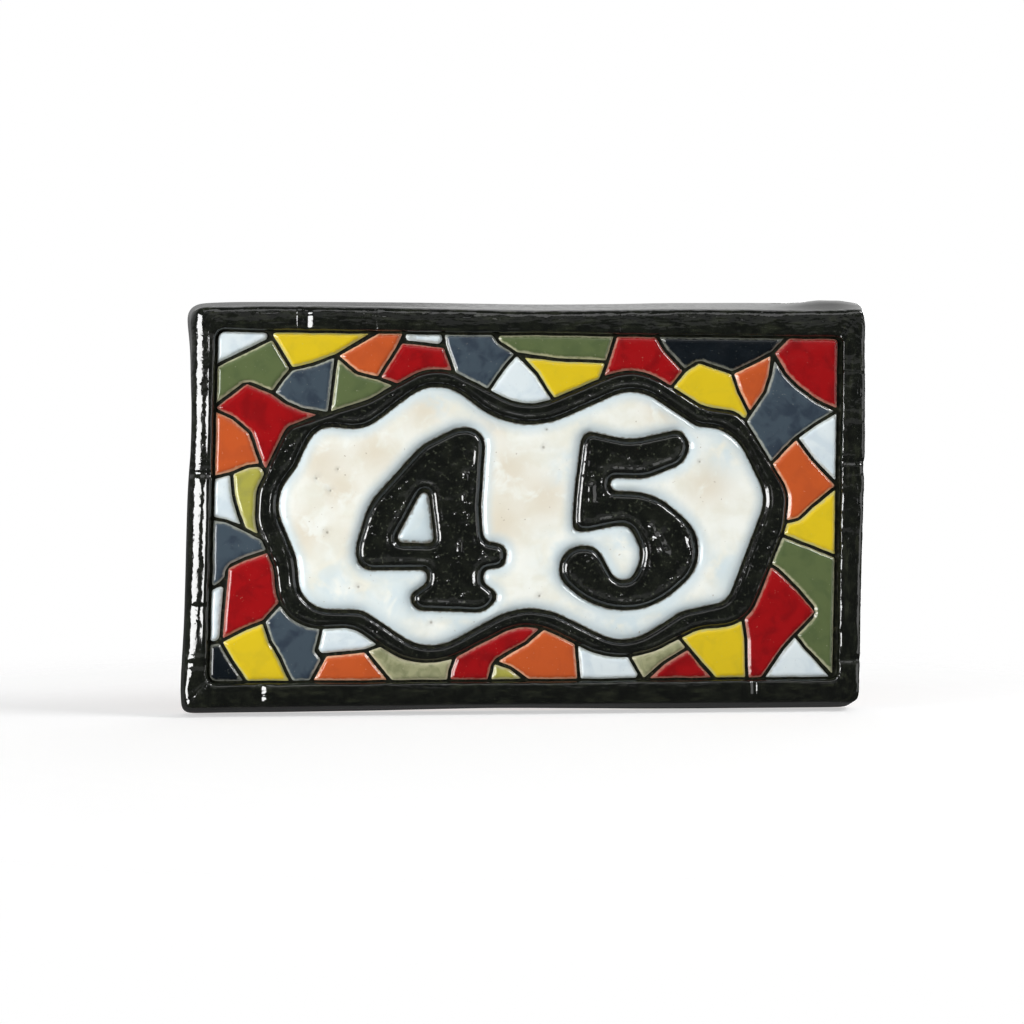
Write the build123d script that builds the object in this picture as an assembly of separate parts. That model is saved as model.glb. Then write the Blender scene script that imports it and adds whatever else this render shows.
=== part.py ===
from build123d import *

import math
import os

# Overall sizes of the fired tile, in millimetres, measured at its back
WIDTH = 150.0
HEIGHT = 91.0
THICKNESS = 10.0

# Hand-made unevenness: sideways lean for each unit up, and climb of the top side for each unit across
LEAN = 0.02
CLIMB = 0.011

# Sides flare out towards the back, and the corners are softly rounded
END_FLARE = 1.6
LOW_FLARE = 2.4
TOP_FLARE = 3.15
CORNER = 3.0

# Rolled rim at the two ends and along the two long sides, and how much of it the rolls take up
RIM_LEFT = 3.7
RIM_RIGHT = 4.9
RIM_LONG = 4.15
ROLL_OUTSIDE = 0.55
ROLL_INSIDE = 0.3

# Dry lines between the pools of glaze: their width and how deep they lie under the rim
LINE = 1.2
LINE_DEPTH = 1.8

# Pools of glaze: height over the dry lines, slope of their sides and rounding of shard corners
SHARD_RISE = 0.8
BAND_RISE = 0.8
PANEL_RISE = 1.0
NUMERAL_RISE = 1.1
POOL_SLOPE = 22.0
SHARD_CORNER = 0.6

# Rounded corners take up at most this share of a side they share, and are never sharper than this,
# and a shard's bend of up to this many degrees isn't nipped off
SHARED_SIDE = 0.98
SHARPEST = 0.15
GENTLE_BEND = 25.0

# The drawing below fills a field of this size, out to the middle of the dry line inside the rim,
# and is stretched to the real field
DRAWN_LONG = 139.2
DRAWN_HIGH = 77.2

FLOOR = THICKNESS - LINE_DEPTH
FIELD_LONG = WIDTH - 2 * END_FLARE - RIM_LEFT - RIM_RIGHT - LINE
FIELD_HIGH = HEIGHT - LOW_FLARE - TOP_FLARE - 2 * RIM_LONG - LINE
FIELD_ACROSS = (RIM_LEFT - RIM_RIGHT) / 2
FIELD_UP = (LOW_FLARE - TOP_FLARE) / 2

# Scalloped cartouche, clockwise from its top left lobe: corner across, corner up, rounding
PANEL = [
    (-20.9, 28.7, 9.6), (-2.5, 15.1, 19), (23.4, 26.9, 10.2), (37.2, 17.9, 3), (45.6, 17.1, 9.5),
    (53.5, 2.3, 8.5), (44.9, -21.1, 4.2), (34.6, -23.3, 4), (22.1, -31, 10.8), (0.3, -20.5, 16),
    (-21.5, -32.4, 10.8), (-36, -22.7, 5), (-49.4, -22.4, 6.5), (-50.5, -11.5, 8), (-56, 1.6, 9),
    (-51.2, 8.1, 6), (-46.9, 17.5, 5), (-36.4, 16.6, 8),
]
BAND = [
    (-21.3, 32.1, 12), (-0.5, 21.8, 12), (23.1, 32.2, 13), (38.8, 22.8, 8), (47.5, 21.5, 6),
    (58.8, 3.6, 7), (58.3, -4.8, 7), (49.8, -26.6, 9), (38.5, -27.6, 8), (21.6, -36, 20),
    (0, -25.5, 12), (-22.8, -37.3, 16), (-38.2, -26.9, 7), (-54.6, -27.5, 10), (-55.6, -14, 8),
    (-60.2, -3.6, 8), (-59.9, 3.6, 6), (-53.6, 17.6, 3), (-35.6, 23.8, 10),
]

# Numerals, drawn in the same way as rounded corner points
FOUR = [
    (-9.7, 17.9, 4), (-16.5, 17.3, 6), (-24, 13.5, 12), (-35.3, 0.5, 14), (-38, -9.5, 9),
    (-37.2, -14.2, 4), (-22, -14.1, 1), (-22.2, -16.9, 1), (-26, -19.4, 2), (-24.8, -23, 3),
    (-9.3, -23.5, 4), (-5.6, -19.8, 1.8), (-9.6, -16.8, 1), (-9.6, -14, 1), (-4.9, -13.6, 2),
    (-4.2, -8.4, 2.4), (-9.9, -7.8, 2), (-10.4, 0.5, 20),
]
FOUR_EYE = [(-22.6, 5.2, 0.9), (-20.6, -8.1, 0.9), (-29.5, -8, 0.9)]
FIVE = [
    (11.6, 17.1, 2.4), (22.5, 14.8, 14), (33.8, 17.4, 2), (36.2, 13.4, 2.6), (34.2, 9.4, 5),
    (26.5, 6.2, 10), (18.2, 6.3, 0.9), (18.2, 3.4, 0.9), (27.6, 3.6, 15), (38.3, -5.4, 9.4),
    (38.3, -14.2, 9.8), (28.3, -23.1, 16.5), (15.5, -23.1, 18), (7, -16.3, 4.8), (7, -11.5, 5),
    (10.3, -8.6, 5.4), (15.3, -8.6, 3.8), (19.6, -16.4, 2.9), (23.1, -16.3, 2.9), (25.1, -12.4, 7),
    (25.1, -9.3, 7), (22.6, -4.3, 4), (19.5, -4.3, 15), (13.2, -5.7, 8), (9.8, -5.7, 1.6),
    (10, 2, 30),
]

# Shards of the mosaic: corner points across and up, on the middle of the dry lines round each shard
# and, where it meets the cartouche, somewhere under the cartouche, which trims it
TOP_SHARDS = [
    [(-69.6, 38.6), (-58.5, 38.6), (-56.9, 36.7), (-64.4, 32.8), (-69.6, 30.3)],
    [(-69.6, 30.3), (-64.4, 32.8), (-56.9, 36.7), (-52.6, 29.9), (-54.7, 27.5), (-56.6, 24.7),
     (-59.5, 25.9), (-62.2, 27), (-65.3, 24.6), (-69.6, 21.2)],
    [(-58.5, 38.6), (-33.6, 38.6), (-43, 33), (-48.2, 31), (-52.6, 29.9), (-56.9, 36.7)],
    [(-52.6, 29.9), (-48.2, 31), (-43, 33), (-43.3, 29.5), (-44.3, 20.2), (-50, 21.1),
     (-53.5, 22.5), (-56.6, 24.7), (-54.7, 27.5)],
    [(-43, 33), (-33.6, 38.6), (-27.9, 38.6), (-29.8, 34.6), (-33.7, 28.1), (-38.5, 29.3)],
    [(-43, 33), (-38.5, 29.3), (-33.7, 28.1), (-28.4, 26.2), (-35, 21), (-44.3, 20.2), (-43.3, 29.5)],
    [(-27.9, 38.6), (-19.9, 38.6), (-19.2, 35.3), (-24, 35.8), (-28.9, 36.3)],
    [(-28.9, 36.3), (-24, 35.8), (-19.2, 35.3), (-16.6, 28), (-24, 27.5), (-28.4, 26.2),
     (-33.7, 28.1), (-29.8, 34.6)],
    [(-19.9, 38.6), (-8.8, 38.6), (-7.3, 36.3), (-3.4, 33.8), (-6.3, 30.4), (-10, 24.7),
     (-16.6, 28), (-19.2, 35.3)],
    [(-8.8, 38.6), (18.8, 38.6), (17.6, 34.5), (16.9, 32.2), (6, 32.6), (-3.4, 33.8), (-7.3, 36.3)],
    [(-3.4, 33.8), (1.4, 29.3), (5.6, 22.6), (-2, 21.5), (-10, 24.7), (-6.3, 30.4)],
    [(-3.4, 33.8), (6, 32.6), (16.9, 32.2), (14.9, 26.6), (5.6, 22.6), (1.4, 29.3)],
    [(18.8, 38.6), (27.6, 38.6), (30, 34.8), (34.4, 30.4), (31, 26.1), (22, 27.5), (14.9, 26.6),
     (16.9, 32.2), (17.6, 34.5)],
    [(27.6, 38.6), (58.3, 38.6), (54.3, 34.6), (50, 32.4), (45.2, 30), (40.5, 31.5), (37.6, 32.5),
     (34.4, 30.4), (30, 34.8)],
    [(34.4, 30.4), (37.6, 32.5), (40.5, 31.5), (45.2, 30), (46.8, 25.5), (49.3, 20.8), (47.2, 17.4),
     (36, 21.5), (31, 26.1)],
    [(45.2, 30), (50, 32.4), (54.3, 34.6), (53.8, 29.5), (52.7, 25.8), (49.3, 20.8), (46.8, 25.5)],
    [(58.3, 38.6), (69.6, 38.6), (69.6, 21.7), (64.5, 23.9), (60.5, 26.8), (57.3, 29.8), (54.3, 34.6)],
]
RIGHT_SHARDS = [
    [(54.3, 34.6), (57.3, 29.8), (60.5, 26.8), (64.5, 23.9), (69.6, 21.7), (64, 18.5), (60, 15.6),
     (54.3, 9.6), (47.2, 17.4), (49.3, 20.8), (52.7, 25.8), (53.8, 29.5)],
    [(60, 15.6), (64, 18.5), (69.6, 21.7), (69.6, 4.8), (64, 10.5)],
    [(60, 15.6), (64, 10.5), (69.6, 4.8), (64, 0.2), (60.8, -2.8), (56.5, -3.8), (54.3, 9.6)],
    [(69.6, 4.8), (69.6, -11.2), (61.5, -8), (55.8, -5.9), (56.5, -3.8), (60.8, -2.8), (64, 0.2)],
    [(69.6, -11.2), (69.6, -38.6), (62.6, -31.4), (60.4, -28.7), (65.4, -23.6), (60.9, -18.4),
     (56.3, -14), (53, -12.2), (55.8, -5.9), (61.5, -8)],
    [(53, -12.2), (56.3, -14), (60.9, -18.4), (65.4, -23.6), (60.4, -28.7), (57.5, -32),
     (52.9, -38.6), (49.6, -38.6), (49.3, -29.5), (48.2, -22.8), (51, -17.5)],
    [(60.4, -28.7), (62.6, -31.4), (69.6, -38.6), (52.9, -38.6), (57.5, -32)],
]
BOTTOM_SHARDS = [
    [(48.2, -22.8), (49.3, -29.5), (49.6, -38.6), (42.6, -38.6), (33.2, -28.1), (40, -25.5)],
    [(36.2, -31.5), (42.6, -38.6), (26.3, -38.6), (30.6, -34.8)],
    [(33.2, -28.1), (36.2, -31.5), (30.6, -34.8), (26.3, -38.6), (24.6, -36), (22.2, -31.9), (28, -30)],
    [(11, -29.6), (22.2, -31.9), (24.6, -36), (26.3, -38.6), (12, -38.6), (11.6, -34.4)],
    [(11, -29.6), (11.6, -34.4), (12, -38.6), (0.9, -38.6), (-3.3, -35.6), (-7.2, -34.3),
     (0, -30.2), (4.6, -26.2)],
    [(-7.2, -34.3), (-3.3, -35.6), (0.9, -38.6), (-8, -38.6)],
    [(4.6, -26.2), (0, -30.2), (-7.2, -34.3), (-8, -38.6), (-16.8, -38.6), (-16.7, -36),
     (-15.1, -31.7), (-6, -26.8), (0, -25.2)],
    [(-15.1, -31.7), (-16.7, -36), (-16.8, -38.6), (-29.3, -38.6), (-32.8, -34.6), (-35.2, -31.7),
     (-30.6, -29.9), (-23, -32.5)],
    [(-44.6, -25.4), (-37, -25.4), (-30.6, -29.9), (-35.2, -31.7), (-43.8, -32.4), (-46.1, -32.5),
     (-45.4, -30)],
    [(-43.8, -32.4), (-35.2, -31.7), (-32.8, -34.6), (-29.3, -38.6), (-47, -38.6)],
    [(-44.6, -25.4), (-45.4, -30), (-46.1, -32.5), (-43.8, -32.4), (-47, -38.6), (-51, -38.6),
     (-53.5, -33.5), (-55.9, -29.5), (-57.4, -25.2), (-52.6, -19.8), (-48, -24)],
    [(-57.4, -25.2), (-55.9, -29.5), (-53.5, -33.5), (-51, -38.6), (-60.7, -38.6), (-64.2, -33.4),
     (-66.6, -29.5), (-61.4, -26.8)],
]
LEFT_SHARDS = [
    [(-69.6, -30), (-66.6, -29.5), (-64.2, -33.4), (-60.7, -38.6), (-69.6, -38.6)],
    [(-69.6, -18.5), (-67.4, -17.4), (-65.7, -15.6), (-66, -21), (-66.6, -29.5), (-69.6, -30)],
    [(-65.6, -13.4), (-62, -11.6), (-55.4, -9.4), (-53.5, -15), (-52.6, -19.8), (-57.4, -25.2),
     (-61.4, -26.8), (-66.6, -29.5), (-66, -21), (-65.7, -15.6)],
    [(-69.6, -2.7), (-66, -3.3), (-61.9, -5.2), (-57.4, -7.5), (-55.4, -9.4), (-62, -11.6),
     (-65.6, -13.4), (-65.7, -15.6), (-67.4, -17.4), (-69.6, -18.5)],
    [(-65.1, 7.1), (-61.5, 8.6), (-58.6, 9), (-56.8, 5.5), (-57.8, 0), (-57.4, -7.5), (-61.9, -5.2),
     (-63.6, -1.2), (-64.6, 2.5)],
    [(-69.6, 6), (-65.1, 7.1), (-64.6, 2.5), (-63.6, -1.2), (-61.9, -5.2), (-66, -3.3), (-69.6, -2.7)],
    [(-69.6, 21.2), (-65, 19.1), (-61.2, 16), (-59.8, 12), (-58.6, 9), (-61.5, 8.6), (-65.1, 7.1),
     (-69.6, 6)],
    [(-69.6, 21.2), (-65.3, 24.6), (-62.2, 27), (-59.5, 25.9), (-56.6, 24.7), (-53.5, 22.5),
     (-50, 21.1), (-44.3, 20.2), (-47.5, 16.8), (-52, 12), (-56.8, 5.5), (-58.6, 9), (-59.8, 12),
     (-61.2, 16), (-65, 19.1)],
]
SHARDS = TOP_SHARDS + RIGHT_SHARDS + BOTTOM_SHARDS + LEFT_SHARDS


def placed(corners):
    """Rounded corner points of the drawing, carried to the real field."""
    return [(place(across, up), radius) for across, up, radius in corners]


def place(across, up):
    """One point of the drawing on the real field."""
    return leant(FIELD_ACROSS + across * FIELD_LONG / DRAWN_LONG, FIELD_UP + up * FIELD_HIGH / DRAWN_HIGH)


def leant(across, up, level=0.0):
    """A point of the tile, with its hand-made lean."""
    return Vector(across + LEAN * up, up, level)


def corner_cuts(corners):
    """How far the rounding of each corner runs along its two sides, as far as the sides allow."""
    points = [point for point, radius in corners]
    sides = [points[i + 1 - len(points)] - point for i, point in enumerate(points)]
    turns = [sides[i - 1].get_angle(side) for i, side in enumerate(sides)]
    reaches = [radius * math.tan(math.radians(turn / 2)) for turn, (point, radius) in zip(turns, corners)]
    shares = []
    for i, side in enumerate(sides):
        room = SHARED_SIDE * side.length
        shares.append(room / max(room, reaches[i] + reaches[i + 1 - len(points)]))
    cuts = []
    for i, point in enumerate(points):
        reach = reaches[i] * min(shares[i - 1], shares[i])
        start = point - sides[i - 1].normalized() * reach
        finish = point + sides[i].normalized() * reach
        cuts.append((start, finish, sides[i - 1], turns[i]))
    return cuts


def rounded(corners):
    """Face inside a run of corner points, each rounded to its own radius."""
    edges = []
    for start, finish, heading, turn in corner_cuts(corners):
        if edges:
            edges.append(Edge.make_line(edges[-1] @ 1, start))
        edges.append(Edge.make_tangent_arc(start, heading, finish))
    edges.append(Edge.make_line(edges[-1] @ 1, edges[0] @ 0))
    return facing_up(Wire(edges))


def nipped(corners):
    """Face inside a run of corner points, each but the gentle bends nipped off straight."""
    points = []
    for start, finish, heading, turn in corner_cuts(corners):
        if turn > GENTLE_BEND:
            points.append(start)
            points.append(finish)
        else:
            points.append((start + finish) / 2)
    return facing_up(Wire.make_polygon(points))


def facing_up(wire):
    """Face inside a wire, looking up."""
    face = Face(wire)
    if face.normal_at().Z < 0:
        face = -face
    return face


def grown(corners, amount):
    """Corner points moved outward by an amount, with their rounding growing or shrinking to match."""
    points = [point for point, radius in corners]
    area = sum(points[i - 1].X * point.Y - points[i - 1].Y * point.X for i, point in enumerate(points))
    hand = math.copysign(1, area)
    moved = []
    for i, (point, radius) in enumerate(corners):
        before = (point - points[i - 1]).normalized()
        after = (points[i + 1 - len(points)] - point).normalized()
        out_before = Vector(before.Y, -before.X) * hand
        out_after = Vector(after.Y, -after.X) * hand
        swing = hand * (before.X * after.Y - before.Y * after.X)
        shift = (out_before + out_after) * (amount / (1 + out_before.dot(out_after)))
        bend = amount if swing > 0 else -amount
        moved.append((point + shift, max(radius + bend, SHARPEST)))
    return moved


def block(corners, rise, spread, outline=rounded):
    """Sloping-sided block on the dry lines, its top spread outward by an amount."""
    foot = Pos(0, 0, FLOOR) * outline(corners)
    top = Pos(0, 0, FLOOR + rise) * outline(grown(corners, spread))
    return loft([foot, top], ruled=True)


def pool(corners, rise, islands=(), outline=rounded):
    """Raised pool of glaze inside an outline, with sloping sides, kept clear of the islands in it."""
    slope = rise * math.tan(math.radians(POOL_SLOPE))
    body = block(corners, rise, -slope, outline)
    for island in islands:
        body = body - block(island, rise, slope)
    return body


def oblong(ends, low, top, level):
    """Corners of the tile at one level, set in from the sizes of its back by these amounts."""
    across = WIDTH / 2 - ends
    corners = [leant(-across, low - HEIGHT / 2, level), leant(across, low - HEIGHT / 2, level)]
    for end in (across, -across):
        corners.append(leant(end, HEIGHT / 2 - top + CLIMB * end, level))
    return corners


def make_slab():
    """Plain slab with flared sides and rounded corners."""
    back = oblong(0, 0, 0, 0)
    front = oblong(END_FLARE, LOW_FLARE, TOP_FLARE, THICKNESS)
    outlines = [back, front]
    for i in range(len(back)):
        outlines.append([back[i - 1], back[i], front[i], front[i - 1]])
    slab = Solid(Shell([Face(Wire.make_polygon(outline)) for outline in outlines]))
    return fillet(slab.edges().filter_by(Plane.XY, reverse=True), CORNER)


def make_tile():
    """Slab with a rolled rim round a sunk field."""
    slab = make_slab()
    rim = min(RIM_LEFT, RIM_RIGHT, RIM_LONG)
    slab = fillet(slab.faces().sort_by(Axis.Z)[-1].edges(), ROLL_OUTSIDE * rim)
    ends = DRAWN_LONG / 2
    sides = DRAWN_HIGH / 2
    drawn = [(-ends, -sides), (ends, -sides), (ends, sides), (-ends, sides)]
    field = [(place(across, up), SHARD_CORNER + LINE / 2) for across, up in drawn]
    slab = slab - extrude(Pos(0, 0, FLOOR) * rounded(grown(field, LINE / 2)), THICKNESS)
    brink = slab.faces().sort_by(Axis.Z)[-1].inner_wires()[0].edges()
    return fillet(brink, ROLL_INSIDE * rim)


def make_shards():
    """Pools of the mosaic, trimmed where the cartouche lies over them."""
    cartouche = placed(BAND)
    shards = []
    for points in SHARDS:
        corners = [(place(across, up), SHARD_CORNER + LINE / 2) for across, up in points]
        shards.append(pool(grown(corners, -LINE / 2), SHARD_RISE, [cartouche], nipped))
    return shards


def make_cartouche():
    """Pools of the scalloped band, the light panel and the numerals."""
    panel = placed(PANEL)
    four = placed(FOUR)
    five = placed(FIVE)
    eye = placed(FOUR_EYE)
    return [
        pool(grown(placed(BAND), -LINE), BAND_RISE, [grown(panel, LINE)]),
        pool(panel, PANEL_RISE, [four, five]),
        pool(eye, PANEL_RISE),
        pool(grown(four, -LINE), NUMERAL_RISE, [grown(eye, LINE)]),
        pool(grown(five, -LINE), NUMERAL_RISE),
    ]


plaque = make_tile() + make_shards() + make_cartouche()
plaque = Rot(90, 0, 0) * plaque.solid()
plaque.label = "plaque"

os.makedirs("parts", exist_ok=True)
export_step(plaque, "parts/plaque.step")
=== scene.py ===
import math

import bpy
import numpy as np
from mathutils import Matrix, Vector, kdtree, noise
from mathutils.geometry import delaunay_2d_cdt


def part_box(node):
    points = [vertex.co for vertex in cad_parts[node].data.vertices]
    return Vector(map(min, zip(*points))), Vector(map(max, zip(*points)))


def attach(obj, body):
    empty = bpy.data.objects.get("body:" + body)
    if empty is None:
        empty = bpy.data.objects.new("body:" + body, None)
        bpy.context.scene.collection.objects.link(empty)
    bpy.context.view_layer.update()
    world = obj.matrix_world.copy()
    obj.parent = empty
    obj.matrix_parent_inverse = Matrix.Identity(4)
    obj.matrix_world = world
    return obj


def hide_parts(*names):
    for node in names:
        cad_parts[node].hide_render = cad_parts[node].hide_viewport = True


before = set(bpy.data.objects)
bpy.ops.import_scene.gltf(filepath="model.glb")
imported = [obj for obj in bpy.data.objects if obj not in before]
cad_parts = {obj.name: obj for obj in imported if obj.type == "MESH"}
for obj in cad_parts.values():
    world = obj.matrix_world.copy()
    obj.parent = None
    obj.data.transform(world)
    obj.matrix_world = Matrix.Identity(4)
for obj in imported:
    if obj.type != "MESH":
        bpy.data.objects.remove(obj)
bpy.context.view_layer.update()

# Lengths are in millimetres until the mesh is made. Points lie across and up the plaque, and
# heights stand out of its back towards the viewer.

# Spacing of points along the outlines of the pools of glaze, round the rim and over the back
STEP = 0.3
RIM_STEP = 0.5
BACK_STEP = 3.5
# Points closer than this are one, and the back has none this near its edge
WELD = 1e-6
BACK_MARGIN = 1.5
# Depth noted outside the field, where the glaze is thick
FULL_DEPTH = 3.0

# How far each kind of pool spreads past its outline on the solid
GROWN = {"shard": 0.55, "band": 0.75, "panel": 0.45, "numeral": 0.9}

# A corner of a shard is nipped off if a short side turns twice, by this many degrees, between longer sides.
# Its point is drawn out again, but no further than the reach.
NIP_LENGTH = 1.0
NIP_TURN = 16
NIP_SIDE = 0.9
NIP_REACH = 1.3
# Finer tremble of the hand along a shard, and along the band, the panel and the numerals
SHARD_TREMBLE = 0.06
LINE_TREMBLE = 0.04

# Distance from a pool to the middle of the dry line beside it, and from the rim to the nearest shard
VALLEY = 0.42
TRENCH = 0.32

# Rows of points inside each kind of pool, by distance from its edge, and spacing in its middle
EVEN_ROWS = (0.12, 0.28, 0.48, 0.75, 1.2, 1.9)
RINGS = {
    "shard": EVEN_ROWS,
    "band": (0.12, 0.28, 0.48, 0.72, 0.94, 1.18, 1.44, 1.9),
    "panel": EVEN_ROWS,
    "numeral": (0.12, 0.3, 0.52, 0.78, 1.02, 1.26, 1.5, 1.76, 2.1),
}
FILL = {"shard": 0.95, "band": 0.9, "panel": 1.15, "numeral": 0.95}

# Distance from its edge at which each kind of pool reaches its full height
SHOULDER = {"shard": 0.9, "band": 0.8, "panel": 2.4, "numeral": 1.15}
# How far the middle of a black line sinks below the ridge along its edges
SINK = {"band": 0.22, "numeral": 0.3}
# How far the ridge beads up and down along its length
BEADS = 0.08
# How far the skin of a pool waves and ripples, and how rough the dry lines are
WAVES = 0.07
RIPPLES = 0.018
LINE_GRAIN = 0.05
# Depth of a pin hole in the panel
PIT_DEPTH = 0.2
# The eye of the 4 is a panel smaller than this, and its depth is cut to this share, so that the painted shade
# of the panel's edges covers it
SMALL_PANEL = 200
EYE_SHADE_SHARE = 0.45

# The rim: roundness of its outer and inner edges, crown of its top, and the lip that it rises from
ROLL_INSET = 1.6
INNER_ROLL = 1.0
CROWN = 0.06
LIP_OUT = 0.1
LIP_UP = 0.3
# The left edge is rounder than the rest and the right edge is sharper
LEFT_SOFTER = 1.9
RIGHT_SHARPER = 0.3
SHARPEST = 0.6
# How far the top of the rim waves and ripples, and how lumpy it is along the right, up to near the corners
RIM_WAVES = 0.16
RIM_RIPPLES = 0.05
RIGHT_LUMPS = 0.1
LUMPS_END = 40
LUMPS_FADE = 8
# How far dashes break the inner edge on the right, how little the glaze on the left is brushed, and how far
# brush marks are drawn out along the rim
RIGHT_DASHES = 0.65
LEFT_UNBRUSHED = 0.85
STROKE = 0.25
# How far a side can lean out on its way to the back
LEAST_LEAN = 0.3
LEAN_RANGE = (0.8, 3.6)
# Shares of the side's height at which it has rows of points
SIDE_SHARES = (0.2, 0.4, 0.6, 0.8, 0.94, 1.0)
# How far the outline, and every row of the rim, stays inside the box of the solid
EDGE_GAP = 0.07
ROW_GAP = 0.05

# The drawing on the plaque: its middle, its scale across and up, and how far it leans
DRAWING_MIDDLE = (-0.6, -0.375)
DRAWING_SCALE = (0.9842, 0.9838)
DRAWING_LEAN = 0.02

# Colour of each shard of the mosaic, by a point of the drawing that lies on it
SHARD_COLOURS = {
    "white": [(-65, 35), (-24, 36.8), (-2.5, 27), (66, 15), (59.5, -35), (17, -35.5), (-39.5, -29.5),
              (-67.6, -24), (-67, 1.5)],
    "yellow": [(-49, 35), (7, 29), (40, 27), (64, -5), (44, -32), (-58.5, -33)],
    "orange": [(-35, 33.5), (50, 28), (61, 6), (4, -34), (-39, -35), (-64, 14)],
    "red": [(-25, 32.5), (24, 34), (63, 33), (57, -24), (35, -36), (-9, -33), (-60, -19), (-58, 19)],
    "green": [(6, 35), (66, -20), (-62, 31), (-38, 25.5)],
    "slate": [(-13, 33), (57, 22), (-50, -30), (-64, -9), (-50, 26)],
    "navy": [(42, 35), (-66, -35)],
    "olive": [(29.5, -33.5), (-23, -36)],
    "lime": [(-5.5, -36.4), (-62, 3)],
}
# Glaze of each kind of pool. A shard keeps this one only if no colour is given for it above.
POOL_GLAZE = {"band": "black", "numeral": "black", "panel": "panel", "shard": "navy"}

# Places on the light panel: warm patches, bluish patches (in part painted shade beside the numerals and in
# the eye of the 4) and pin holes, as across, up and size
WARM = [
    (-49, -6, 5), (-46, 10, 5), (-41, 3, 4), (40, 5, 5), (-6, -4, 6), (-5, 8, 5), (4, 2, 5), (30, 22, 5),
    (-24, 22, 5), (-34, 12, 5), (-37, -8, 4), (-8, 19, 4),
]
COOL_AND_SHADE = [
    (-28, -20, 7), (8, -12, 5), (9, 8, 4), (-42, -18, 6), (22, -9, 5), (20, -27, 7), (44, -14, 5),
    (-20, 25, 5), (30, -25, 6), (-14, -27, 5), (44, 13, 5), (-24, -3, 4), (-26, -6, 4), (-23, 1, 4),
    (-23, -6, 3),
]
PITS = [
    (3, 13, 0.34), (3.6, 17, 0.25), (-44, -5.8, 0.34), (-46.6, 6, 0.28), (-43.5, 3.3, 0.25),
    (-37, -17.7, 0.3), (-21, -25.5, 0.34), (2.7, -19.8, 0.3), (-42, 8, 0.22), (38, 10, 0.22),
]

# Nicks across the rolled rim, as across, up, width along the rim and depth
NICKS = [
    (-75, 6.6, 0.55, 0.4), (-75, 8.2, 0.4, 0.25), (75, 9.3, 0.5, 0.35), (75, -34, 0.6, 0.35),
    (-48.5, 44, 0.8, 0.5), (-51, 44, 0.4, 0.25), (-58, -44, 0.8, 0.45), (-34, 44, 0.5, 0.2),
    (20, 44, 0.6, 0.2), (49, -44, 0.5, 0.45), (-75, -22, 0.6, 0.2), (75, 30, 0.5, 0.2),
]

# Places where the hand-made outline swells or shrinks: across, up, shift across, shift up and reach
BULGES = [
    (-74.5, 43, -1.0, -0.5, 7), (-75, 16, 0.6, 0, 9), (75, 8.4, -0.7, 0, 1.6), (4, 46, 0, -0.5, 22),
    (-8, -45.5, 0, 0.5, 26), (76, -39, -0.45, 0, 5), (74.4, -45.2, 0.35, -0.35, 1.8),
    (-75.2, -44.8, -0.5, -0.4, 3), (74.9, 45.7, 0.5, 0.7, 4),
]

# Places on the rim as across, up, how much and reach: where it stands out further at the front, where a
# side bellies out, where its top is lumpy, where its outer edge is sharper, and where its inner edge is
# not broken into dashes
SWELLS = [
    (-75.5, -42, 0.2, 20), (75, 15, 0.5, 30), (-52, 46, 0.6, 24), (4, 46, -0.45, 22), (60, 46, -0.4, 18),
]
BELLIES = [(67, 46, 1.3, 8), (-75, -40, 0.5, 12)]
LUMPS = [(-76, -35, 0.5, 7), (-76, -8, 0.1, 3)]
SHARPER = [(-76, -42, 2.1, 8)]
UNBROKEN = [(76, 36, 1.0, 20)]

# How far the inner edge of the rim stands in over the dry line round the field, on each side
INSIDE = {"left": 1.2, "right": 0.2, "top": 1.0, "low": 0.8}

# Runs of thick glaze on the numerals: from across and up, to across and up, half width and height
RUNS = [
    ((28.8, -6.8), (30.2, -10.2), 1.0, 0.8), ((27.3, -4.5), (27.6, -5.2), 0.6, 0.5),
    ((13.9, 4.3), (13.9, 1.2), 0.8, 0.46), ((-14.2, 7), (-14.0, 5.6), 0.5, 0.36),
    ((-14.4, 2.2), (-14.3, 1.2), 0.45, 0.34), ((-15.0, -8), (-15.2, -10), 0.5, 0.36),
    ((32.3, -1.3), (32.6, -1.9), 0.5, 0.45), ((34.4, -3.9), (35.0, -5.6), 0.5, 0.45),
    ((35.7, -7.2), (36.0, -9.2), 0.5, 0.45),
]

# Where the front and the back lie on the flat map: middle across, middle up and millimetres to a unit
FRONT_MAP = (0.5, 0.69, 156)
BACK_MAP = (0.25, 0.17, 320)
# Edges that turn more than this many degrees stay sharp
SHARP_TURN = 70

# The white floor, in metres: half its width, the distances between which it fades out, its grey, and how
# far it glows where it is seen
STAGE_SIZE = 1.2
STAGE_FADE = (0.1, 0.24)
STAGE_GREY = (0.62, 0.62, 0.62, 1)
STAGE_GLOW = 0.5

# Light of the surround where it doesn't show, how much of its white the glaze mirrors, and the directions
# behind and above the plaque between which that white comes in
DIM = 0.06
MIRRORED = 0.32
BEHIND = (0.0, 0.3)
ABOVE = (0.05, 0.2)

# Soft box lamps, in metres and watts: name, place, the point that it faces, width, height and power
LAMPS = [
    ("left_box", (-0.62, -0.475, 0.02), (0, -0.475, 0.02), 0.64, 0.36, 8.9),
    ("right_box", (0.6, -0.25, 0.55), (0, 0, 0), 0.3, 0.3, 4.0),
    ("right_card", (0.55, -0.3, 0.0), (0, 0, 0), 0.4, 0.3, 0.4),
    ("front_card", (0.1, -1.0, 0.35), (0, 0, 0), 1.6, 0.3, 0.3),
    ("top_box", (0.0, -0.8, 0.85), (0, 0, 0), 1.2, 0.5, 2.0),
    ("back_box", (0.0, 0.6, 0.75), (0, 0, 0), 1.4, 0.9, 2.2),
    ("rear_box", (0.25, 0.8, 0.05), (0, 0, 0), 0.6, 0.4, 3.0),
]

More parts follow.
